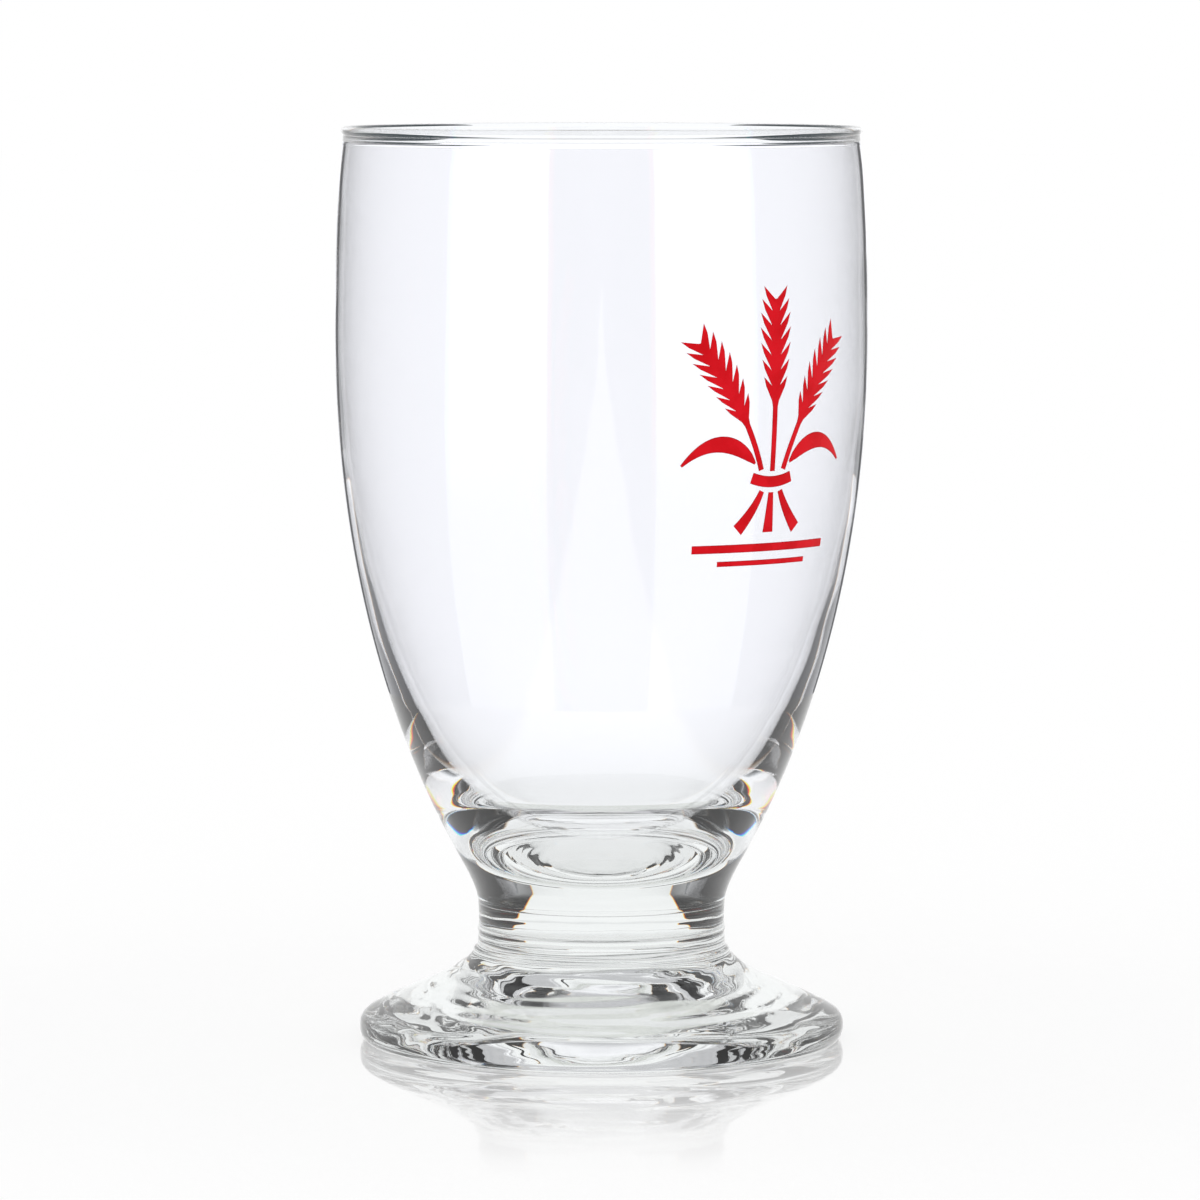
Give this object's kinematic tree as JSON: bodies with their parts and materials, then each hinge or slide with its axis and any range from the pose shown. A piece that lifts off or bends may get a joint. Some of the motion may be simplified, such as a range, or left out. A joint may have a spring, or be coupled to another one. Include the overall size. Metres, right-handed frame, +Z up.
{
  "type": "footed beer glass",
  "caption": "Footed beer glass: a tall clear bowl drawn in slightly at its beaded rim, on a short solid stem and a flared foot, with a red enamel barley print.",
  "frame": {"origin": "centre of the ring that the foot stands on, at table level", "axes": "+Z up the axis of the glass; the pictured front looks to -Y, and the print is 39.5 degrees from -Y towards +X"},
  "size_m": [0.072, 0.072, 0.1241],
  "materials": {
    "clear_glass": "fire-polished",
    "red_enamel": "gloss"
  },
  "bodies": {
    "root": {"bowl": "clear_glass", "stem": "clear_glass", "foot": "clear_glass", "enamel_ear_left": "red_enamel", "enamel_ear_middle": "red_enamel", "enamel_ear_right": "red_enamel", "enamel_leaf_left": "red_enamel", "enamel_leaf_right": "red_enamel", "enamel_binding": "red_enamel", "enamel_straw_left": "red_enamel", "enamel_straw_middle": "red_enamel", "enamel_straw_right": "red_enamel", "enamel_rule_upper": "red_enamel", "enamel_rule_lower": "red_enamel"}
  },
  "joints": []
}
